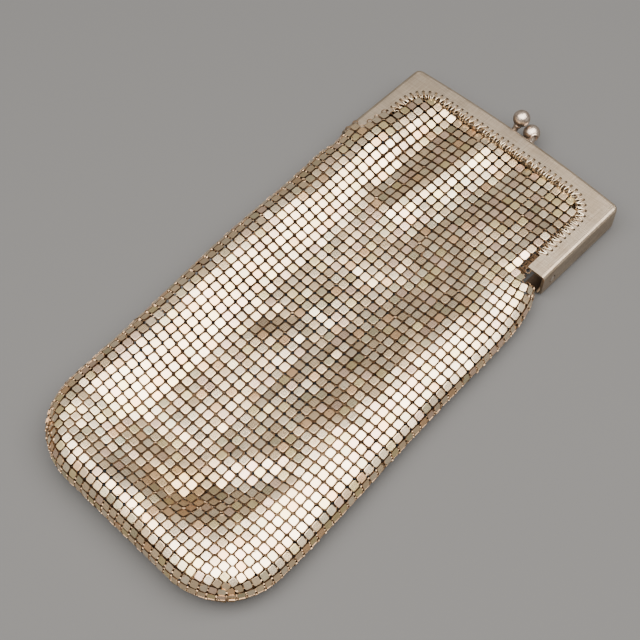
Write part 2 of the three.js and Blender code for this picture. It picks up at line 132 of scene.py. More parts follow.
def mixed(tree, mask, low, high):
    """Colour that goes from low to high with the mask."""
    made = add_node(tree, "Mix", {"Factor": mask}, data_type="RGBA")
    for socket, value in ((made.inputs[6], low), (made.inputs[7], high)):
        if isinstance(value, bpy.types.NodeSocket):
            tree.links.new(value, socket)
        else:
            socket.default_value = (*value, 1.0)
    return made.outputs[2]


def ranged(tree, value, low, high):
    """Value from 0..1 spread over low..high."""
    return add_node(tree, "MapRange", {"Value": value, "To Min": low, "To Max": high}
                    ).outputs["Result"]


def new_metal(name, metallic):
    material = bpy.data.materials.new(name)
    material.use_nodes = True
    shader = material.node_tree.nodes["Principled BSDF"]
    shader.inputs["Metallic"].default_value = metallic
    return material, material.node_tree, shader


def inner_mask_group():
    """Where a folded channel's inside lies, from its half width, level and front."""
    group, given, result = new_group(
        "channel_inside",
        [("Half Width", "NodeSocketFloat", 0.038), ("Middle", "NodeSocketFloat", 0.0),
         ("Bar Level", "NodeSocketFloat", 0.0), ("Low", "NodeSocketFloat", 0.0),
         ("High", "NodeSocketFloat", 0.008)],
        [("Mask", "NodeSocketFloat")])
    places = add_node(group, "TexCoord").outputs["Object"]
    x, y, z = add_node(group, "SeparateXYZ", {0: places}).outputs
    across = add_node(group, "Math", {0: x, 1: given.outputs["Middle"]}, operation="SUBTRACT")
    aside = add_node(group, "Math", {0: across.outputs["Value"]}, operation="ABSOLUTE")
    tests = [(aside.outputs["Value"], "LESS_THAN", "Half Width"), (y, "LESS_THAN", "Bar Level"),
             (z, "GREATER_THAN", "Low"), (z, "LESS_THAN", "High")]
    mask = 1.0
    for value, operation, limit in tests:
        passed = add_node(group, "Math", {0: value, 1: given.outputs[limit]}, operation=operation)
        mask = add_node(group, "Math", {0: passed.outputs["Value"], 1: mask},
                        operation="MULTIPLY").outputs["Value"]
    group.links.new(mask, result.inputs["Mask"])
    return group


def nickel_material(name, clean, tarnished, roughness, brushing, tarnish, inside=None):
    material, tree, shader = new_metal(name, 1.0)
    scratches = place_group(tree, brushing, {"Scale": 1.0})
    clouds = place_group(tree, tarnish, {"Scale": 160.0, "Low": 0.42, "High": 0.78})
    colour = mixed(tree, clouds.outputs["Mask"], clean, tarnished)
    hatched = add_node(tree, "MapRange", {"Value": scratches.outputs["Height"], **HATCHING}
                       ).outputs["Result"]
    colour = mixed(tree, hatched, colour, tuple(0.6 * value for value in tarnished))
    # Painted shade: the channel's inside is painted near black, standing for the shadow there as
    # well as some tarnish.
    if inside:
        channel = place_group(tree, channel_inside, inside)
        colour = mixed(tree, channel.outputs["Mask"], colour, INSIDE_SHADE_AND_TARNISH)
    tree.links.new(colour, shader.inputs["Base Color"])
    low, high = roughness
    tree.links.new(ranged(tree, scratches.outputs["Mask"], low, high),
                   shader.inputs["Roughness"])
    bump = add_node(tree, "Bump", {"Height": scratches.outputs["Height"],
                                   "Strength": 0.6, "Distance": 0.00008})
    tree.links.new(bump.outputs["Normal"], shader.inputs["Normal"])
    return material


brushing = brushing_group()
tarnish = tarnish_group()
channel_inside = inner_mask_group()
NICKEL = (0.455, 0.37, 0.28)
NICKEL_TARNISHED = (0.38, 0.29, 0.20)
# Near black for the channels' insides: painted shade, with some tarnish in it.
INSIDE_SHADE_AND_TARNISH = (0.07, 0.05, 0.035)
HATCHING = {"From Min": 0.8, "From Max": 1.2, "To Min": 0.0, "To Max": 0.6}
FRAME_WIDTH = 78.0
SHEET = 0.7
CLEARANCE = 0.3
BAR_BOW = 1.4
front_low, front_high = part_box("frame_front")
bar_middle = Vector(((front_low.x + front_high.x) / 2, front_high.y - BAR_BOW * MM, 0.0))
SURFACE = 0.68
frame_front_inside = {
    "Half Width": (FRAME_WIDTH / 2 - SURFACE) * MM, "Middle": bar_middle.x,
    "Bar Level": bar_middle.y - SURFACE * MM, "Low": 0.0, "High": front_high.z - SURFACE * MM}
frame_back_inside = {
    "Half Width": (FRAME_WIDTH / 2 - SHEET - CLEARANCE - SURFACE) * MM, "Middle": bar_middle.x,
    "Bar Level": bar_middle.y - (SHEET + CLEARANCE + SURFACE) * MM, "Low": SURFACE * MM,
    "High": front_high.z}
for half, inside in (("front", frame_front_inside), ("back", frame_back_inside)):
    sheet_nickel = nickel_material("brushed_nickel_" + half, NICKEL, NICKEL_TARNISHED,
                                   (0.34, 0.50), brushing, tarnish, inside)
    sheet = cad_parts["frame_" + half]
    sheet.data.materials.clear()
    sheet.data.materials.append(sheet_nickel)


# Hinge rivets. Turned nickel pins through both arms' flanges, filed flush outside and
# headed over inside, a little darker than the sheet round them.

rivet_nickel = nickel_material("filed_rivet_nickel", (0.55, 0.49, 0.43), (0.40, 0.33, 0.26),
                               (0.34, 0.52), brushing, tarnish)
for name in ("hinge_rivet_left", "hinge_rivet_right"):
    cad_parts[name].data.materials.clear()
    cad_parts[name].data.materials.append(rivet_nickel)


# Clasp knobs. A cast ball on a bent neck on each half, with a foot against the bar's
# flange and a shank riveted behind it. The balls snap past each other, so they are
# polished by use and finely scratched.

OUTER_CORNER_RADIUS = 2.2
BALL_RADIUS = 2.65
BALL_SPACING = 4.25
BALLS_OFFSET = -0.8
FEET_SPACING = 7.5
FEET_OFFSET = 0.25
NECK_RADIUS = 0.95
NECK_BEND = 0.6
FOOT_RADIUS = 1.5
FOOT_THICKNESS = 0.8
SHANK_RADIUS = 0.7
HEAD_THICKNESS = 0.5
COLLAR_RADIUS = 1.25
KNOB_CREASE = 0.7
NECK_STEPS = 14
KNOBS = {
    "front": {"side": 1, "ball_reach": 6.5, "ball_height": 5.0, "foot_height": 6.4, "face": 0.0},
    "back": {"side": -1, "ball_reach": 6.2, "ball_height": 8.6, "foot_height": 3.3, "face": -1.0},
}


def bar_bow(x):
    return BAR_BOW * (1 - (x / (FRAME_WIDTH / 2 - OUTER_CORNER_RADIUS)) ** 2)


def add_turned(bm, centre, axis, rings, sides):
    """A turned form: rings are (distance along the axis, radius) from end to end."""
    turn = Vector((0, 0, 1)).rotation_difference(axis.normalized()).to_matrix().to_4x4()
    (start, radius), *others = rings
    made = bmesh.ops.create_circle(bm, cap_ends=True, segments=sides, radius=radius)
    face = made["verts"][0].link_faces[0]
    verts = list(made["verts"])
    bmesh.ops.translate(bm, verts=made["verts"], vec=(0, 0, start))
    height = start
    for at, ring_radius in others:
        pushed = bmesh.ops.extrude_face_region(bm, geom=[face])
        bmesh.ops.delete(bm, geom=[face], context="FACES_ONLY")
        face = next(g for g in pushed["geom"] if isinstance(g, bmesh.types.BMFace))
        ring = list(face.verts)
        bmesh.ops.translate(bm, verts=ring, vec=(0, 0, at - height))
        bmesh.ops.scale(bm, verts=ring, vec=(ring_radius / radius,) * 2 + (1,))
        verts += ring
        height, radius = at, ring_radius
    bmesh.ops.transform(bm, verts=verts, matrix=Matrix.Translation(centre) @ turn)
    return verts


def finish_piece(name, bm, material, body="root"):
    bmesh.ops.recalc_face_normals(bm, faces=bm.faces)
    mesh = bpy.data.meshes.new(name)
    bm.to_mesh(mesh)
    bm.free()
    piece = bpy.data.objects.new(name, mesh)
    bpy.context.scene.collection.objects.link(piece)
    mesh.materials.append(material)
    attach(piece, body)
    return piece


def knob_piece(name, side, ball_reach, ball_height, foot_height, face):
    bm = bmesh.new()
    ball = Vector((BALLS_OFFSET + side * BALL_SPACING / 2, ball_reach, ball_height))
    foot_x = FEET_OFFSET + side * FEET_SPACING / 2
    foot = Vector((foot_x, face + bar_bow(foot_x) + CLEARANCE, foot_height))
    bend = Vector((foot.x, foot.y + (ball.y - foot.y) * NECK_BEND, foot_height))
    towards = (ball - bend).normalized()
    sphere = bmesh.ops.create_uvsphere(bm, u_segments=32, v_segments=20, radius=BALL_RADIUS)
    turn = Vector((0, 0, 1)).rotation_difference(towards).to_matrix().to_4x4()
    bmesh.ops.transform(bm, verts=sphere["verts"], matrix=Matrix.Translation(ball) @ turn)
    neck = bmesh.ops.create_circle(bm, segments=16, radius=NECK_RADIUS)
    ring = neck["verts"]
    edges = list({edge for vert in ring for edge in vert.link_edges})
    at, facing = Vector((0, 0, 0)), Vector((0, 0, 1))
    for step in range(NECK_STEPS + 1):
        t = step / NECK_STEPS
        place = (1 - t) ** 2 * foot + 2 * t * (1 - t) * bend + t * t * ball
        heading = ((1 - t) * (bend - foot) + t * (ball - bend)).normalized()
        if step:
            pushed = bmesh.ops.extrude_edge_only(bm, edges=edges)["geom"]
            ring = [g for g in pushed if isinstance(g, bmesh.types.BMVert)]
            edges = [g for g in pushed if isinstance(g, bmesh.types.BMEdge)
                     and all(vert in ring for vert in g.verts)]
        turn = facing.rotation_difference(heading).to_matrix().to_4x4()
        move = Matrix.Translation(place) @ turn @ Matrix.Translation(-at)
        bmesh.ops.transform(bm, verts=ring, matrix=move)
        at, facing = place, heading
    collar_at = ball - towards * BALL_RADIUS
    add_turned(bm, collar_at, towards, [
        (-0.55, NECK_RADIUS), (-0.35, COLLAR_RADIUS), (0.05, COLLAR_RADIUS),
        (0.5, COLLAR_RADIUS * 0.8)], 24)
    out = Vector((0, 1, 0))
    add_turned(bm, foot, out, [
        (0, FOOT_RADIUS), (FOOT_THICKNESS * 0.55, FOOT_RADIUS),
        (FOOT_THICKNESS * 0.85, FOOT_RADIUS * 0.9), (FOOT_THICKNESS, NECK_RADIUS)], 24)
    behind = SHEET + 2 * CLEARANCE
    add_turned(bm, foot, -out, [
        (-FOOT_THICKNESS / 2, SHANK_RADIUS), (behind, SHANK_RADIUS),
        (behind, FOOT_RADIUS), (behind + HEAD_THICKNESS * 0.6, FOOT_RADIUS),
        (behind + HEAD_THICKNESS, FOOT_RADIUS * 0.6)], 20)
    for one in bm.faces:
        one.smooth = True
    for edge in bm.edges:
        edge.smooth = not (len(edge.link_faces) == 2 and edge.calc_face_angle() > KNOB_CREASE)
    to_frame = Matrix.Translation(bar_middle) @ Matrix.Scale(MM, 4)
    bmesh.ops.transform(bm, verts=bm.verts, matrix=to_frame)
    return finish_piece(name, bm, ball_nickel)


ball_nickel = nickel_material("worn_ball_nickel", (0.66, 0.55, 0.46), (0.38, 0.27, 0.20),
                              (0.24, 0.42), brushing, tarnish)
for half, sizes in KNOBS.items():
    knob = knob_piece("ball_and_neck_" + half, **sizes)
    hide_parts("clasp_knob_" + half)


# Mesh bag. The soft form of the bag, lying on its back: two rims that swell from the
# frame to the closed end, a shallow hollow between them, and soft folds. It follows the
# solid's sections, but puffs up over the left arm and falls more at both rims.

ARM_LENGTH = 35.0
BAG_WIDTH = 81.0
BAG_LENGTH = 167.0
BAG_THICKNESS = 13.0
BAG_CORNER_RADIUS = 20.0
PANEL_LEVEL = 8.3
END_SWELL_LENGTH = 21.0

SECTION_COLUMNS = ("down", "left", "right", "left_crest", "hollow", "hollow_at", "right_crest")
SECTION_ROWS = [
    (0.00, -0.880, 0.900, 0.02, -0.16, 0.16, 0.00),
    (0.03, -0.940, 0.970, 0.10, -0.17, 0.16, 0.06),
    (0.07, -0.965, 1.020, 0.24, -0.18, 0.16, 0.15),
    (0.13, -0.955, 1.050, 0.40, -0.18, 0.18, 0.27),
    (0.20, -0.940, 1.065, 0.54, -0.17, 0.20, 0.38),
    (0.34, -0.930, 1.075, 0.70, -0.15, 0.16, 0.50),
    (0.48, -0.900, 1.095, 0.78, -0.13, 0.08, 0.58),
    (0.64, -0.855, 1.125, 0.84, -0.08, 0.08, 0.68),
    (0.80, -0.825, 1.150, 0.92, 0.02, 0.12, 0.82),
    (1.00, -0.800, 1.150, 1.00, 0.10, 0.14, 1.00),
]
FOLD_COLUMNS = ("from_across", "from_down", "to_across", "to_down", "width", "height")
FOLD_ROWS = [
    (-0.69, 0.070, -0.66, 0.360, 0.34, 0.040),
    (-0.47, 0.060, -0.44, 0.240, 0.30, -0.060),
    (-0.12, 0.060, -0.24, 0.270, 0.32, 0.075),
    (0.17, 0.060, 0.06, 0.280, 0.38, -0.060),
    (0.72, 0.130, 0.70, 0.210, 0.24, 0.045),
    (0.70, 0.780, 0.36, 0.900, 0.34, -0.095),
    (0.36, 0.900, -0.14, 0.925, 0.32, -0.075),
    (0.30, 0.530, 0.27, 0.700, 0.16, 0.030),
    (-0.27, 0.600, -0.15, 0.560, 0.16, -0.045),
    (-0.66, 0.885, -0.46, 0.875, 0.15, -0.050),
]
PUFF_ACROSS, PUFF_DOWN = -32.5, 30.0
PUFF_REACH_ACROSS, PUFF_REACH_DOWN = 9.0, 18.0
PUFF_HEIGHT = 2.5
LEFT_FALL = 19.0
RIM_FALL = 1.9
RIM_FALL_WIDTH = 16.0
RIM_FALL_FROM, RIM_FALL_GROWTH = 30.0, 25.0
SLOPE_STEP = 0.05
SECTIONS = dict(zip(SECTION_COLUMNS, np.array(SECTION_ROWS).T))
FOLDS = [dict(zip(FOLD_COLUMNS, row)) for row in FOLD_ROWS]


def section_value(column, down):
    """A section column at distances down from the bar, on a smooth curve."""
    at, value = SECTIONS["down"], SECTIONS[column]
    last = len(at) - 1
    rows = np.arange(last + 1)
    before, after = np.maximum(rows - 1, 0), np.minimum(rows + 1, last)
    slope = (value[after] - value[before]) / (at[after] - at[before])
    share = np.clip((down - ARM_LENGTH) / (BAG_LENGTH - ARM_LENGTH), 0, 1)
    i = np.clip(np.searchsorted(at, share, side="right") - 1, 0, last - 1)
    span = at[i + 1] - at[i]
    t = (share - at[i]) / span
    return ((2 * t**3 - 3 * t**2 + 1) * value[i] + (t**3 - 2 * t**2 + t) * slope[i] * span
            + (3 * t**2 - 2 * t**3) * value[i + 1] + (t**3 - t**2) * slope[i + 1] * span)


def smooth(t):
    t = np.clip(t, 0, 1)
    return t * t * (3 - 2 * t)


def fold_height(x, down):
    total = np.zeros_like(x)
    for fold in FOLDS:
        start = np.array([fold["from_across"] * BAG_WIDTH / 2, fold["from_down"] * BAG_LENGTH])
        end = np.array([fold["to_across"] * BAG_WIDTH / 2, fold["to_down"] * BAG_LENGTH])
        run = end - start
        t = np.clip(((x - start[0]) * run[0] + (down - start[1]) * run[1]) / (run @ run), 0, 1)
        gap = np.hypot(x - start[0] - t * run[0], down - start[1] - t * run[1])
        width = fold["width"] * BAG_THICKNESS
        total += fold["height"] * BAG_THICKNESS * np.exp(-(gap / width) ** 2)
    return total + PUFF_HEIGHT * np.exp(-((x - PUFF_ACROSS) / PUFF_REACH_ACROSS) ** 2
                                        - ((down - PUFF_DOWN) / PUFF_REACH_DOWN) ** 2)


def side_edges(down):
    """The bag's left and right edges at distances down from the bar."""
    return (section_value("left", down) * BAG_WIDTH / 2,
            section_value("right", down) * BAG_WIDTH / 2)


def inward_from_edge(x, down):
    left, right = side_edges(down)
    near_side = np.minimum(x - left, right - x)
    from_end = BAG_LENGTH - down
    corner = BAG_CORNER_RADIUS
    rounded = corner - np.hypot(np.maximum(corner - near_side, 0), np.maximum(corner - from_end, 0))
    in_corner = (near_side < corner) & (from_end < corner)
    return np.where(in_corner, rounded, np.minimum(near_side, from_end))


def bag_form(x, down):
    """The rim's crest beside each place, and the height of the upper panel there."""
    left, right = side_edges(down)
    across = smooth((x - left) / (right - left))
    share = (1 - across) * section_value("left_crest", down) \
        + across * section_value("right_crest", down)
    swell = BAG_THICKNESS - PANEL_LEVEL
    crest = PANEL_LEVEL + share * swell
    hollow = PANEL_LEVEL + section_value("hollow", down) * swell
    hollow_at = section_value("hollow_at", down) * BAG_WIDTH / 2
    rim = crest / 2
    hollowed = smooth((x - left - rim) / LEFT_FALL) \
        * smooth((right - x - rim) / (right - hollow_at - rim)) \
        * smooth((BAG_LENGTH - down - rim) / END_SWELL_LENGTH)
    fall = np.clip((x - right + RIM_FALL_WIDTH) / (RIM_FALL_WIDTH - rim), 0, 1) ** 2
    grown = smooth((down - RIM_FALL_FROM) / RIM_FALL_GROWTH)
    panel = crest - (crest - hollow) * hollowed + fold_height(x, down) - RIM_FALL * fall * grown
    return crest, panel


def edge_rise(x, down):
    """How the distance inwards changes over a short step across and down."""
    step = SLOPE_STEP
    return (inward_from_edge(x + step, down) - inward_from_edge(x - step, down),
            inward_from_edge(x, down + step) - inward_from_edge(x, down - step))


def onto_bag(points, upper, strip):
    """Points moved to the bag's surface. strip marks those free to pass over the rim."""
    x, down, z = points.T
    inward = inward_from_edge(x, down)
    crest, panel = bag_form(x, down)
    rim = crest / 2
    slope_x, slope_down = (rise / (2 * SLOPE_STEP) for rise in edge_rise(x, down))
    size = np.maximum(np.hypot(slope_x, slope_down), 1e-6)
    stretch = panel / crest
    upper = np.where(strip, z / stretch > rim, upper)
    out, up = rim - inward, z / stretch - rim
    reach = np.maximum(np.hypot(out, up), 1e-6)
    on_rim = inward < rim
    move = np.where(on_rim, out - out * rim / reach, 0)
    up = np.where(on_rim, up * rim / reach, np.where(upper, rim, -rim))
    return np.stack([x + move * slope_x / size, down + move * slope_down / size,
                     (rim + up) * stretch], axis=1)


# The linkage. Plates sit in columns along the bag and rows across it, over the front,
# round the rim and over the back, with a ring at every corner where plates meet. The
# net is settled like the real one: each link takes its own length, and the whole lies
# on the bag's form. At the closed end's corners three plates meet instead of four.

COLUMN_PITCH = 2.7
ROW_PITCH = 3.065
COLUMNS = 28
ROWS = 54
RIM_STRIPS = 4
OPENING_FIRST, OPENING_LAST = 2, 25
FRAME_ROWS = 10
FIRST_ROW_OVER_ARM = {1: 5, 0: 8}
ARM_SPREAD = 1.1
SPREAD_COLUMNS = 7
SPREAD_FROM, SPREAD_OVER = 14, 20
LEFT_SHOULDER = 38.8
RIGHT_TUCK = 3.2
TOP_ROW = 6.3
RIM_TURN = math.radians(48)
END_ROWS = 16
END_CROWDING = 0.14
CROWDED_BY = 0.6
SETTLING_STEPS = 160
LINK_PULL = 0.3
BRACE_PULL = 0.08
CORNER_EASE = 0.15
CORNER_REACH = 1.4

net_left = -(OPENING_LAST - OPENING_FIRST) * COLUMN_PITCH / 2
row_down = TOP_ROW + np.arange(ROWS + 1) * ROW_PITCH
crowding = END_CROWDING * smooth((np.arange(ROWS) - ROWS + END_ROWS) / (END_ROWS * CROWDED_BY))
row_pitch = ROW_PITCH * (1 - crowding)
bag_rows = row_pitch[FRAME_ROWS:]
row_share = np.concatenate([[0], np.cumsum(bag_rows)]) / bag_rows.sum()


def spaced(places, shares):
    """A run of places in the plan, at shares of its own length."""
    places = np.array(places)
    gone = np.concatenate([[0], np.cumsum(np.hypot(*np.diff(places, axis=0).T))])
    share = shares * gone[-1]
    return np.stack([np.interp(share, gone, places[:, 0]), np.interp(share, gone, places[:, 1])], 1)


def ridge_run(side, shoulder):
    """One side's line where the face turns into the rim, down and round its corner."""
    margin = PANEL_LEVEL / 2 * (1 - math.cos(RIM_TURN))
    end_margin = BAG_THICKNESS / 2 * (1 - math.cos(RIM_TURN))
    straight = np.linspace(shoulder, BAG_LENGTH - BAG_CORNER_RADIUS, 60)
    angle = np.linspace(0, math.pi / 2, 40)
    grown = smooth((straight - shoulder) / (straight[-1] - shoulder))
    inset = margin + (end_margin - margin) * grown
    round_down = BAG_LENGTH - BAG_CORNER_RADIUS \
        + (BAG_CORNER_RADIUS - end_margin) * np.sin(angle)
    round_inset = BAG_CORNER_RADIUS - (BAG_CORNER_RADIUS - end_margin) * np.cos(angle)
    down = np.concatenate([straight, round_down])
    inset = np.concatenate([inset, round_inset])
    column = "left" if side < 0 else "right"
    x = section_value(column, down) * BAG_WIDTH / 2 - side * inset
    run = np.stack([x, down], 1)
    middle = len(straight) + len(angle) // 2
    return run[:middle], run[middle - 1:]


def start_plan():
    """First places of one face's corners, before the net settles."""
    plan = np.zeros((COLUMNS + 1, ROWS + 1, 2))
    shoulder = row_down[FRAME_ROWS]
    left_side, left_end = ridge_run(-1, shoulder)
    right_side, right_end = ridge_run(1, shoulder)
    left, right = spaced(left_side, row_share), spaced(right_side, row_share)
    column_share = np.arange(COLUMNS + 1) / COLUMNS
    end = spaced(np.concatenate([left_end, right_end[::-1]]), column_share)
    opening = net_left + (np.arange(COLUMNS + 1) - OPENING_FIRST) * COLUMN_PITCH
    top = np.stack([np.interp(np.arange(COLUMNS + 1), [0, OPENING_FIRST, OPENING_LAST, COLUMNS],
                              [left[0, 0], net_left, -net_left, right[0, 0]]),
                    np.full(COLUMNS + 1, shoulder)], 1)
    u = column_share[:, None, None]
    v = row_share[None, :, None]
    plan[:, FRAME_ROWS:] = (1 - u) * left[None] + u * right[None] \
        + (1 - v) * top[:, None] + v * end[:, None] \
        - (1 - u) * (1 - v) * left[0] - u * (1 - v) * right[0] \
        - (1 - u) * v * left[-1] - u * v * right[-1]
    left_share = np.clip(1 - np.arange(COLUMNS + 1) / SPREAD_COLUMNS, 0, 1)
    spread = ARM_SPREAD * left_share[:, None] \
        * smooth((row_down[:FRAME_ROWS + 1] - SPREAD_FROM) / SPREAD_OVER)
    plan[:, :FRAME_ROWS, 0] = opening[:, None] - spread[:, :FRAME_ROWS]
    mouth = slice(OPENING_FIRST, OPENING_LAST + 1)
    plan[mouth, FRAME_ROWS, 0] -= spread[mouth, -1]
    plan[:, :FRAME_ROWS, 1] = row_down[:FRAME_ROWS]
    return plan


def build_net():
    plan = start_plan()
    crest, panel = bag_form(plan[:, :, 0], plan[:, :, 1])
    front = np.concatenate([plan, panel[:, :, None]], axis=2)
    back = np.concatenate([plan, np.zeros_like(panel)[:, :, None]], axis=2)
    count = (COLUMNS + 1) * (ROWS + 1)
    front_id = np.arange(count).reshape(COLUMNS + 1, ROWS + 1)
    back_id = front_id + count
    side = np.arange(FRAME_ROWS, ROWS + 1)
    ridge = [(0, j) for j in side] + [(i, ROWS) for i in range(1, COLUMNS)] \
        + [(COLUMNS, j) for j in side[::-1]]
    ridge_i, ridge_j = np.array(ridge).T
    strips = [front_id[ridge_i, ridge_j]]
    points = [front.reshape(-1, 3), back.reshape(-1, 3)]
    x, down = plan[ridge_i, ridge_j].T
    slope = np.stack(edge_rise(x, down), 1)
    slope /= np.maximum(np.linalg.norm(slope, axis=1), 1e-6)[:, None]
    rim = bag_form(x, down)[0] / 2
    inward = inward_from_edge(x, down)
    for k in range(1, RIM_STRIPS):
        turn = RIM_TURN * (1 - 2 * k / RIM_STRIPS)
        move = rim * (1 - math.cos(turn)) - inward
        ring = np.stack([x + move * slope[:, 0], down + move * slope[:, 1],
                         rim + rim * math.sin(turn)], 1)
        strips.append(2 * count + (k - 1) * len(ridge) + np.arange(len(ridge)))
        points.append(ring)
    strips.append(back_id[ridge_i, ridge_j])
    return np.concatenate(points), front_id, back_id, np.array(strips), ridge_i, ridge_j


def face_cells(ids, flip):
    """Corner ids of one face's cells, with the opening's rows only inside the frame."""
    cells, kinds = [], []
    for j in range(ROWS):
        for i in range(COLUMNS):
            over_arm = not flip and j >= FIRST_ROW_OVER_ARM.get(i, ROWS)
            if j < FRAME_ROWS and not (OPENING_FIRST <= i < OPENING_LAST or over_arm):
                continue
            corners = [ids[i, j + 1], ids[i + 1, j + 1], ids[i + 1, j], ids[i, j]]
            cells.append([corners[n] for n in ((1, 0, 3, 2) if flip else (0, 1, 2, 3))])
            kinds.append((COLUMN_PITCH, row_pitch[j]))
    return np.array(cells), np.array(kinds)


def rim_cells(strips, ridge_i, ridge_j):
    cells, kinds = [], []
    for k in range(RIM_STRIPS):
        for m in range(strips.shape[1] - 1):
            cells.append([strips[k + 1, m], strips[k + 1, m + 1], strips[k, m + 1], strips[k, m]])
            along_side = ridge_i[m] == ridge_i[m + 1]
            row = row_pitch[min(ridge_j[m], ridge_j[m + 1], ROWS - 1)]
            kinds.append((row, COLUMN_PITCH) if along_side else (COLUMN_PITCH, row))
    return np.array(cells), np.array(kinds)


points, front_id, back_id, strips, ridge_i, ridge_j = build_net()
front_cells, front_kinds = face_cells(front_id, False)
back_cells, back_kinds = face_cells(back_id, True)
side_cells, side_kinds = rim_cells(strips, ridge_i, ridge_j)
cells = np.concatenate([front_cells, side_cells, back_cells])
kinds = np.concatenate([front_kinds, side_kinds, back_kinds])


def corner_share(points):
    """How far places lie in the closed end's rounded corners, where the net crowds."""
    left, right = side_edges(points[:, 1])
    near_side = np.minimum(points[:, 0] - left, right - points[:, 0])
    from_end = BAG_LENGTH - points[:, 1]
    return smooth(CORNER_REACH - near_side / BAG_CORNER_RADIUS) \
        * smooth(CORNER_REACH - from_end / BAG_CORNER_RADIUS)


def settled(points):
    """The net at rest on the bag's form, its links at their own length."""
    count = front_id.size
    held = np.zeros(len(points), bool)
    for ids in (front_id, back_id):
        held[ids[:, :FRAME_ROWS + 1].ravel()] = True
    held[strips[:, 0]] = held[strips[:, -1]] = True
    upper = np.zeros(len(points), bool)
    upper[:count] = True
    strip = np.zeros(len(points), bool)
    strip[2 * count:] = True
    ends = np.concatenate([cells[:, [0, 1]], cells[:, [1, 2]], cells[:, [0, 2]], cells[:, [1, 3]]])
    brace = np.hypot(kinds[:, 0], kinds[:, 1])
    rest = np.concatenate([kinds[:, 0], kinds[:, 1], brace, brace])
    pull = np.concatenate([np.full(2 * len(cells), LINK_PULL), np.full(2 * len(cells), BRACE_PULL)])
    ends_a, ends_b = ends[:2 * len(cells)].T
    neighbours = np.maximum(np.bincount(ends_a, minlength=len(points))
                            + np.bincount(ends_b, minlength=len(points)), 1)
    for _ in range(SETTLING_STEPS):
        gap = points[ends[:, 1]] - points[ends[:, 0]]
        length = np.maximum(np.linalg.norm(gap, axis=1), 1e-6)
        shift = gap * ((length - rest) / length * pull * 0.5)[:, None]
        moved = np.zeros_like(points)
        for axis in range(3):
            moved[:, axis] = np.bincount(ends[:, 0], shift[:, axis], len(points)) \
                - np.bincount(ends[:, 1], shift[:, axis], len(points))
            total = np.bincount(ends_a, points[ends_b, axis], len(points)) \
                + np.bincount(ends_b, points[ends_a, axis], len(points))
            moved[:, axis] += corner_share(points) * CORNER_EASE \
                * (total / neighbours - points[:, axis])
        moved[held] = 0
        points = np.where(held[:, None], points, onto_bag(points + moved, upper, strip))
    return points


def spread_shoulders(points):
    """The corners beside the opening at the arms' ends, spread evenly round each side."""
    points = points.copy()
    down = row_down[FRAME_ROWS]
    rim = PANEL_LEVEL / 2
    for side, column, inner in ((-1, 0, OPENING_FIRST), (1, -1, OPENING_LAST)):
        opening = abs(points[front_id[inner, FRAME_ROWS], 0])
        right = section_value("right", np.array([down]))[0] * BAG_WIDTH / 2 - RIGHT_TUCK
        edge = LEFT_SHOULDER if side < 0 else right
        puffed = 1 + (PUFF_HEIGHT / PANEL_LEVEL if side < 0 else 0)
        outer = range(inner - 1, -1, -1) if side < 0 else range(inner + 1, COLUMNS + 1)
        ids = [front_id[i, FRAME_ROWS] for i in outer] \
            + list(strips[1:-1, column]) + [back_id[i, FRAME_ROWS] for i in list(outer)[::-1]]
        flat = max(edge - rim - opening, 0)
        turn = math.acos(max(1 - (edge - opening) / rim, 0)) if flat == 0 else math.pi / 2
        length = 2 * flat + 2 * turn * rim
        for n, vertex in enumerate(ids):
            at = length * (n + 1) / (len(ids) + 1)
            if at < flat:
                place = (opening + at, 2 * rim)
            elif at > length - flat:
                place = (opening + length - at, 0)
            else:
                angle = turn - (at - flat) / rim
                place = (edge - rim + rim * math.cos(angle), rim + rim * math.sin(angle))
            points[vertex] = (side * place[0], down, place[1] * puffed)
    return points


points = settled(spread_shoulders(points))


# Plates. Each is a small stamped plate with cut corners and a slight crown, satin
# silver under a champagne tint faded by wear, set a little off level and off tint from
# its neighbours. Its bevelled rim and sides are painted dark brown, as painted shade
# in the gaps between plates. Rows that are pushed together lie like shingles.

PLATE_SHARE = 0.84
PLATE_THICKNESS = 0.42
PLATE_EDGE = 0.075
PLATE_ROUND = 0.022
PLATE_CROWN = 0.003
PLATE_CREASE = math.radians(4)
WIRE_CREASE = math.radians(90)
CORNER_CUT = 0.26
SHINGLE_ROOM = 0.93
STEEPEST = math.radians(10)
SMALLEST_SHARE = 0.88
TILT = math.radians(1.8)
WAVE_TILT = math.radians(1.3)
LOWEST_PLATE = 0.05
FACE_ROOM = 0.1
LIFT_SPREAD = 0.03
WAVE_LENGTH = 24
LARGEST_SHARE = 1.05
PLATE_SEED = 41

random = np.random.default_rng(PLATE_SEED)


def plate_template():
    """One plate of unit width and length, rounded at its corners, its crown up."""
    bm = bmesh.new()
    bmesh.ops.create_cube(bm, size=1.0)
    bmesh.ops.scale(bm, verts=bm.verts, vec=(1, 1, PLATE_THICKNESS))
    bmesh.ops.translate(bm, verts=bm.verts, vec=(0, 0, -PLATE_THICKNESS / 2))
    upright = [edge for edge in bm.edges if abs(edge.verts[0].co.z - edge.verts[1].co.z) > 0.1]
    bmesh.ops.bevel(bm, geom=upright, offset=CORNER_CUT, segments=3, profile=0.5,
                    affect="EDGES", material=-1)
    top = max(bm.faces, key=lambda face: face.calc_center_median().z)
    bmesh.ops.inset_region(bm, faces=[top], thickness=PLATE_EDGE, depth=0)
    bmesh.ops.translate(bm, verts=top.verts, vec=(0, 0, PLATE_ROUND))
    middle = bmesh.ops.poke(bm, faces=[top])["verts"][0]
    middle.co.z += PLATE_CROWN
    bmesh.ops.translate(bm, verts=bm.verts, vec=(0, 0, -PLATE_ROUND))
    return bm


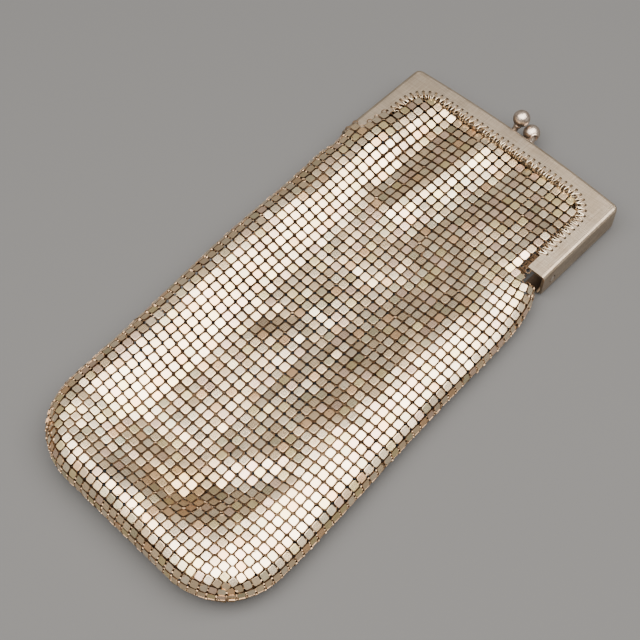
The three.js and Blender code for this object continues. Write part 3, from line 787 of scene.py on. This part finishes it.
def template_arrays(bm):
    mesh = bpy.data.meshes.new("template")
    bm.to_mesh(mesh)
    bm.free()
    verts = np.zeros(len(mesh.vertices) * 3)
    mesh.vertices.foreach_get("co", verts)
    loops = np.zeros(len(mesh.loops), int)
    mesh.loops.foreach_get("vertex_index", loops)
    sizes = np.zeros(len(mesh.polygons), int)
    mesh.polygons.foreach_get("loop_total", sizes)
    bpy.data.meshes.remove(mesh)
    return verts.reshape(-1, 3), loops, sizes


def joined_copies(name, template, origins, axes, tints, material, crease):
    """One mesh of the template at every origin, along that place's three axes."""
    verts, loops, sizes = template
    count = len(origins)
    made = origins[:, None, :] + np.einsum("vk,nkc->nvc", verts, axes)
    mesh = bpy.data.meshes.new(name)
    mesh.vertices.add(count * len(verts))
    mesh.vertices.foreach_set("co", made.astype(np.float32).ravel())
    all_loops = (loops[None, :] + np.arange(count)[:, None] * len(verts)).ravel()
    all_sizes = np.tile(sizes, count)
    mesh.loops.add(len(all_loops))
    mesh.loops.foreach_set("vertex_index", all_loops.astype(np.int32))
    mesh.polygons.add(len(all_sizes))
    starts = np.concatenate([[0], np.cumsum(all_sizes)[:-1]])
    mesh.polygons.foreach_set("loop_start", starts.astype(np.int32))
    mesh.update(calc_edges=True)
    mesh.polygons.foreach_set("use_smooth", np.ones(len(all_sizes), bool))
    mesh.set_sharp_from_angle(angle=crease)
    tint = mesh.attributes.new("tint", "FLOAT_COLOR", "POINT")
    tint.data.foreach_set("color", np.repeat(tints, len(verts), axis=0).astype(np.float32).ravel())
    # The edge value rises over each copy's bevelled rim and down its sides; the plate material
    # paints those dark brown, as painted shade between the plates.
    edge = mesh.attributes.new("edge", "FLOAT", "POINT")
    reach = np.maximum(np.abs(verts[:, 0]), np.abs(verts[:, 1])) / 0.5
    depth = np.clip(-verts[:, 2] / max(-verts[:, 2].min(), 1e-6), 0, 1)
    edge.data.foreach_set("value", np.tile(np.maximum(smooth((reach - 0.75) / 0.25) * 0.85, depth),
                                           count).astype(np.float32))
    mesh.materials.append(material)
    piece = bpy.data.objects.new(name, mesh)
    bpy.context.scene.collection.objects.link(piece)
    return piece


def unit(vectors):
    return vectors / np.maximum(np.linalg.norm(vectors, axis=-1, keepdims=True), 1e-9)


def turned(first, second, angles):
    """Both axes turned by angles in their own plane, first towards second."""
    c, s = np.cos(angles)[:, None], np.sin(angles)[:, None]
    return first * c + second * s, second * c - first * s


def waves(centres, seed, length):
    """Smooth random values over the net, one for each centre."""
    rng = np.random.default_rng(seed)
    value = np.zeros(len(centres))
    for _ in range(12):
        heading = unit(rng.normal(size=3)) * rng.uniform(0.6, 1.6) / length
        value += np.sin(centres @ heading * 2 * math.pi + rng.uniform(0, 2 * math.pi))
    return value / math.sqrt(6)


def plate_places(corners, kinds):
    """Centre and three axes of each cell's plate, tilted as it hangs in its links."""
    centre = corners.mean(axis=1)
    run_a = (corners[:, 1] + corners[:, 2] - corners[:, 0] - corners[:, 3]) / 2
    run_b = (corners[:, 2] + corners[:, 3] - corners[:, 0] - corners[:, 1]) / 2
    room_a = np.linalg.norm(run_a, axis=1) / kinds[:, 0]
    room_b = np.linalg.norm(run_b, axis=1) / kinds[:, 1]
    a, b = unit(run_a), unit(run_b)
    bisector = unit(a + b)
    other = unit(np.cross(np.cross(a, b), bisector))
    a, b = unit(bisector - other), unit(bisector + other)
    normal = np.cross(a, b)
    count = len(centre)
    shingle_a = np.clip(SHINGLE_ROOM - room_a, 0, STEEPEST)
    shingle_b = np.clip(SHINGLE_ROOM - room_b, 0, STEEPEST)
    tilt_a = shingle_a + random.normal(0, TILT, count) + WAVE_TILT * waves(centre, 5, WAVE_LENGTH)
    tilt_b = shingle_b + random.normal(0, TILT, count) + WAVE_TILT * waves(centre, 6, WAVE_LENGTH)
    a, normal = turned(a, normal, tilt_a)
    b, normal = turned(b, normal, tilt_b)
    normal = unit(normal)
    size_a = kinds[:, 0] * PLATE_SHARE * np.clip(room_a, SMALLEST_SHARE, LARGEST_SHARE)
    size_b = kinds[:, 1] * PLATE_SHARE * np.clip(room_b, SMALLEST_SHARE, LARGEST_SHARE)
    centre = centre + normal * random.normal(0, LIFT_SPREAD, count)[:, None]
    axes = np.stack([a * size_a[:, None], b * size_b[:, None], normal], axis=1)
    reach = np.abs(axes[:, 0, 2]) / 2 + np.abs(axes[:, 1, 2]) / 2 \
        + np.maximum(-normal[:, 2], 0) * FACE_ROOM
    low = centre[:, 2] - reach - np.maximum(normal[:, 2], 0) * PLATE_THICKNESS
    centre[:, 2] += np.maximum(LOWEST_PLATE - low, 0)
    return centre, axes, np.minimum(room_a, room_b)


FINISHES = {
    "silver": (30, (0.95, 0.765, 0.53)),
    "champagne": (36, (0.92, 0.685, 0.425)),
    "rose": (12, (0.91, 0.635, 0.45)),
    "peach": (6, (0.91, 0.57, 0.31)),
    "straw": (9, (0.89, 0.70, 0.36)),
    "grey_green": (7, (0.70, 0.595, 0.37)),
}
PATCHES = [
    {"across": 12.0, "down": 147.0, "reach": 8.0, "tint": (0.62, 0.38, 0.15)},
    {"across": -9.0, "down": 97.0, "reach": 3.5, "tint": (0.24, 0.14, 0.07)},
    {"across": -38.0, "down": 150.0, "reach": 8.0, "tint": (0.70, 0.45, 0.20)},
    {"across": -40.0, "down": 95.0, "reach": 13.0, "tint": (0.66, 0.50, 0.31)},
    {"across": -38.0, "down": 50.0, "reach": 11.0, "tint": (0.70, 0.54, 0.34)},
]


def plate_tints(count, centres):
    """A tint for each plate, faded by wear, from a few finishes in uneven shares."""
    shares = np.array([share for share, _ in FINISHES.values()])
    colours = np.array([colour for _, colour in FINISHES.values()])
    pick = random.choice(len(shares), size=count, p=shares / shares.sum())
    tint = colours[pick] * random.normal(1, 0.05, (count, 1))
    shade = 1 + 0.05 * waves(centres, 9, 40)
    for patch in PATCHES:
        gap = np.hypot(centres[:, 0] - patch["across"], centres[:, 1] + patch["down"])
        share = np.exp(-(gap / patch["reach"]) ** 2) * random.uniform(0.4, 1.0, count)
        tint += (np.array(patch["tint"]) - tint) * share[:, None]
    return np.concatenate([np.clip(tint * shade[:, None], 0, 1), np.ones((count, 1))], axis=1)


def plate_material():
    material, tree, shader = new_metal("worn_champagne_plate", 1.0)
    tint = add_node(tree, "Attribute", attribute_name="tint").outputs["Color"]
    edge = add_node(tree, "Attribute", attribute_name="edge").outputs["Fac"]
    clouds = place_group(tree, tarnish, {"Scale": 700.0, "Low": 0.5, "High": 0.8})
    # Painted shade: each plate's bevelled rim and sides are painted dark brown, to dim their glints
    # and darken the gaps between plates.
    edge_shade = add_node(tree, "MapRange", {"Value": edge, "From Min": 0.35, "From Max": 0.9},
                    interpolation_type="SMOOTHSTEP").outputs["Result"]
    spotted = mixed(tree, ranged(tree, clouds.outputs["Mask"], 0.0, 0.3), tint, (0.46, 0.33, 0.21))
    colour = mixed(tree, edge_shade, spotted, (0.22, 0.135, 0.075))
    tree.links.new(colour, shader.inputs["Base Color"])
    scratches = place_group(tree, brushing, {"Scale": 1.6})
    tree.links.new(ranged(tree, scratches.outputs["Mask"], 0.22, 0.34), shader.inputs["Roughness"])
    bump = add_node(tree, "Bump", {"Height": scratches.outputs["Height"],
                                   "Strength": 0.3, "Distance": 0.00004})
    tree.links.new(bump.outputs["Normal"], shader.inputs["Normal"])
    return material


def inside_opening(x, down, inset):
    """Whether places lie inside the frame's rounded opening, by at least inset."""
    corner = OPENING_CORNER - inset
    side = OPENING_HALF - inset - np.abs(x)
    bar = down - BAR_BAND - inset
    rounded = corner - np.hypot(np.maximum(corner - side, 0), np.maximum(corner - bar, 0))
    return np.where((side < corner) & (bar < corner), rounded, np.minimum(side, bar)) > 0


OPENING_HALF = 33.0
OPENING_CORNER = 8.5
BAR_BAND = 5.2
PLATE_TO_EDGE = 1.7
LEAST_ROOM = 0.6
FRAME_TOP = 9.0
SHOULDER_START = 37.6
plate = template_arrays(plate_template())
plate_metal = plate_material()
corner_points = points[cells] * np.array([1, -1, 1])
centres, axes, room = plate_places(corner_points, kinds)
tints = plate_tints(len(cells), centres)
across, down = centres[:, 0], -centres[:, 1]
in_opening = inside_opening(across, down, PLATE_TO_EDGE) \
    & (np.abs(across) < OPENING_HALF - PLATE_TO_EDGE)
over_arm = (across < 0) & (centres[:, 2] > FRAME_TOP + PLATE_THICKNESS)
kept = np.where(down < SHOULDER_START, in_opening | over_arm, room > LEAST_ROOM)
group_of = np.repeat([0, 1, 2], [len(front_cells), len(side_cells), len(back_cells)])


def mesh_piece(name, template, origins, axes, tints, material, crease):
    piece = joined_copies(name, template, origins * MM + np.array(bar_middle), axes * MM,
                          tints, material, crease)
    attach(piece, "root")
    return piece


for name, number in (("front_plates", 0), ("rim_plates", 1), ("back_plates", 2)):
    chosen = kept & (group_of == number)
    piece = mesh_piece(name, plate, centres[chosen], axes[chosen], tints[chosen], plate_metal,
                       PLATE_CREASE)
    if number == 0:
        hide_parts("mesh_bag")


# Link rings. Under every corner where plates meet lies a small ring of darkened wire
# that holds their turned-down tongues together. Only its arcs show in the gaps.

RING_RADIUS = 0.82
RING_WIRE = 0.17
RING_DEPTH = 0.4
RING_LIE = math.radians(7)


def ring_template(radius, wire, around, section, stretch=0.0):
    """One closed ring of round wire, lying flat, drawn out to an oval by stretch."""
    bm = bmesh.new()
    made = bmesh.ops.create_circle(bm, segments=section, radius=wire)
    turn = Matrix.Translation((radius, 0, 0)) @ Matrix.Rotation(math.pi / 2, 4, "X")
    bmesh.ops.transform(bm, verts=made["verts"], matrix=turn)
    bmesh.ops.spin(bm, geom=bm.edges[:], cent=(0, 0, 0), axis=(0, 0, 1), angle=2 * math.pi,
                   steps=around, use_merge=True)
    for vert in bm.verts:
        vert.co.x += math.copysign(stretch, vert.co.x)
    bmesh.ops.recalc_face_normals(bm, faces=bm.faces)
    return bm


def wire_material(name, colour, dark, roughness):
    material, tree, shader = new_metal(name, 1.0)
    clouds = place_group(tree, tarnish, {"Scale": 500.0, "Low": 0.35, "High": 0.7})
    tree.links.new(mixed(tree, clouds.outputs["Mask"], colour, dark), shader.inputs["Base Color"])
    tree.links.new(ranged(tree, clouds.outputs["Mask"], *roughness), shader.inputs["Roughness"])
    return material


link_wire = wire_material("darkened_link_wire", (0.35, 0.235, 0.14), (0.13, 0.08, 0.045),
                          (0.3, 0.5))
link_ring = template_arrays(ring_template(RING_RADIUS, RING_WIRE, 8, 3))
normals = np.zeros_like(points)
touching = np.zeros(len(points))
for corner in range(4):
    np.add.at(normals, cells[kept, corner], unit(axes[kept, 2]))
    np.add.at(touching, cells[kept, corner], 1)
linked = touching > 0
out = unit(normals[linked])
some = unit(np.cross(out, [0.31, 0.87, 0.21]))
other = np.cross(out, some)
lie = random.normal(0, RING_LIE, (2, len(out)))
some, out = turned(some, out, lie[0])
other, out = turned(other, out, lie[1])
ring_at = points[linked] * np.array([1, -1, 1]) - out * RING_DEPTH
ring_at[:, 2] = np.maximum(ring_at[:, 2], RING_DEPTH + RING_WIRE)
ring_axes = np.stack([some, other, out], axis=1)
upper = ring_at[:, 2] > BAG_THICKNESS / 3
for name, chosen in (("front_link_rings", upper), ("back_link_rings", ~upper)):
    mesh_piece(name, link_ring, ring_at[chosen], ring_axes[chosen],
               np.ones((chosen.sum(), 4)), link_wire, WIRE_CREASE)


# Jump rings. A thicker ring of brassy wire through each hole of both pierced rows
# reaches over the sheet's edge and holds the bag's first plates to the frame.

FRAME_DEPTH = 9.0
HOLE_PITCH = 2.0
HOLE_TO_EDGE = 1.25
HOLE_END_MARGIN = 7.0
JUMP_RADIUS = 0.66
JUMP_STRETCH = 0.75
JUMP_WIRE = 0.15
COVERED_HOLES = 19.0
JUMP_ROLL = math.radians(9)
JUMP_YAW = math.radians(16)
YAW_SPREAD = math.radians(8)
BACK_ROLL = math.radians(70)


def hole_line():
    """The holes of one half, with the way from each towards the opening."""
    reach = OPENING_HALF + HOLE_TO_EDGE
    corner = OPENING_CORNER + HOLE_TO_EDGE
    top = BAR_BAND - HOLE_TO_EDGE
    turns = np.linspace(0, math.pi / 2, 60)
    arm = np.linspace(ARM_LENGTH - HOLE_END_MARGIN, top + corner, 80)
    side = np.stack([np.full_like(arm, -reach), arm], 1)
    bend = np.stack([corner - reach - corner * np.cos(turns),
                     top + corner - corner * np.sin(turns)], 1)
    half = np.concatenate([side, bend[1:]])
    line = np.concatenate([half, half[::-1] * np.array([-1, 1])])
    length = np.hypot(*np.diff(line, axis=0).T).sum()
    holes = spaced(line, np.linspace(0, 1, round(length / HOLE_PITCH) + 1))
    along = unit(np.gradient(holes, axis=0))
    return holes, np.stack([-along[:, 1], along[:, 0]], 1)


jump_wire = wire_material("brassy_jump_wire", (0.92, 0.79, 0.60), (0.42, 0.29, 0.17), (0.22, 0.4))
jump_ring = template_arrays(ring_template(JUMP_RADIUS, JUMP_WIRE, 10, 5, JUMP_STRETCH))
holes, inward = hole_line()
bare = (holes[:, 0] > 0) | (holes[:, 1] < COVERED_HOLES)
holes, inward = holes[bare], inward[bare]
hole_at = np.repeat(np.stack([holes[:, 0], -holes[:, 1], np.zeros(len(holes))], 1), 2, axis=0)
inward = np.repeat(np.stack([inward[:, 0], -inward[:, 1], np.zeros(len(holes))], 1), 2, axis=0)
leaning = np.tile([-1.0, 1.0], len(holes))
upright = np.tile([0.0, 0.0, 1.0], (len(leaning), 1))
sideways = np.cross(inward, upright)
for name, sheet_level, lean in (("front_jump_rings", FRAME_DEPTH - SHEET / 2, JUMP_ROLL),
                                ("back_jump_rings", SHEET / 2, BACK_ROLL)):
    yaw = leaning * JUMP_YAW + random.normal(0, YAW_SPREAD, len(leaning))
    along, beside = turned(inward, sideways, yaw)
    rise, across_ring = turned(upright, beside, leaning * lean)
    ring_at = hole_at + along * (JUMP_RADIUS + JUMP_STRETCH) + np.array([0, 0, sheet_level])
    mesh_piece(name, jump_ring, ring_at, np.stack([along, rise, across_ring], axis=1),
               np.ones((len(leaning), 4)), jump_wire, WIRE_CREASE)


# Floor, light and camera. The purse lies on a plain pale surface under one broad soft
# light, seen from the closed end's right side.

FLOOR_REACH = 3.0
FLOOR_DROP = 0.0003
FLOOR_GREY = (0.0735, 0.0722, 0.071)

bm = bmesh.new()
bmesh.ops.create_grid(bm, x_segments=1, y_segments=1, size=FLOOR_REACH)
floor_mesh = bpy.data.meshes.new("floor")
bm.to_mesh(floor_mesh)
bm.free()
floor = bpy.data.objects.new("floor", floor_mesh)
bpy.context.scene.collection.objects.link(floor)
floor_material, _, floor_shader = new_metal("plain_pale_surface", 0.0)
floor_shader.inputs["Base Color"].default_value = (*FLOOR_GREY, 1)
floor_shader.inputs["Roughness"].default_value = 0.9
floor_mesh.materials.append(floor_material)
floor.location.z = -FLOOR_DROP

SOFTBOX_HEIGHT = 0.75
SOFTBOX_WIDTH = 1.6
SOFTBOX_DEPTH = 0.95
SOFTBOX_FAR_EDGE = 0.295
SOFTBOX_TURN = math.radians(54)
SOFTBOX_POWER = 41.0
SOFTBOX_COLOUR = (1.0, 0.975, 0.94)
FILL_WIDTH = 1.2
FILL_HEIGHT = 0.6
FILL_POWER = 0.6
ROOM_COLOUR = (1.0, 0.97, 0.93)
ROOM_STRENGTH = 0.375


def add_softbox(name, place, aim, turn, width, depth, power):
    """A broad soft light at a place, its face towards aim."""
    light = bpy.data.lights.new(name, "AREA")
    light.shape = "RECTANGLE"
    light.size = width
    light.size_y = depth
    light.energy = power
    light.color = SOFTBOX_COLOUR
    made = bpy.data.objects.new(name, light)
    bpy.context.scene.collection.objects.link(made)
    made.location = place
    facing = (aim - place).to_track_quat("-Z", "Y").to_matrix()
    made.rotation_euler = (facing @ Matrix.Rotation(turn, 3, "Z")).to_euler()


shift = SOFTBOX_FAR_EDGE - SOFTBOX_DEPTH / 2
overhead = Vector((-shift * math.sin(SOFTBOX_TURN), shift * math.cos(SOFTBOX_TURN), SOFTBOX_HEIGHT))
add_softbox("overhead_softbox", overhead, overhead - Vector((0, 0, 1)), SOFTBOX_TURN,
            SOFTBOX_WIDTH, SOFTBOX_DEPTH, SOFTBOX_POWER)
for name, place in (("fill_by_closed_end", Vector((-0.40, -1.05, 0.3))),
                    ("fill_by_right_side", Vector((1.05, 0.40, 0.3)))):
    add_softbox(name, place, Vector((0, 0, 0)), 0.0, FILL_WIDTH, FILL_HEIGHT, FILL_POWER)

world = bpy.data.worlds.new("studio")
world.use_nodes = True
world.node_tree.nodes["Background"].inputs["Color"].default_value = (*ROOM_COLOUR, 1)
world.node_tree.nodes["Background"].inputs["Strength"].default_value = ROOM_STRENGTH
bpy.context.scene.world = world

FOCAL_PIXELS = 1300.0
IMAGE_PIXELS = 640.0
SENSOR = 36.0
ELEVATION = math.radians(58.23)
AZIMUTH = math.radians(43.90)
DISTANCE = 366.9
TARGET = Vector((-0.81, -84.28, 0.0))

camera_data = bpy.data.cameras.new("camera")
camera_data.sensor_width = SENSOR
camera_data.lens = FOCAL_PIXELS / IMAGE_PIXELS * SENSOR
camera_data.clip_start = 0.01
camera = bpy.data.objects.new("camera", camera_data)
bpy.context.scene.collection.objects.link(camera)
towards_camera = Vector((math.sin(AZIMUTH) * math.cos(ELEVATION),
                         -math.cos(AZIMUTH) * math.cos(ELEVATION), math.sin(ELEVATION)))
camera.location = bar_middle + (TARGET + towards_camera * DISTANCE) * MM
camera.rotation_euler = (-towards_camera).to_track_quat("-Z", "Y").to_euler()
bpy.context.scene.camera = camera
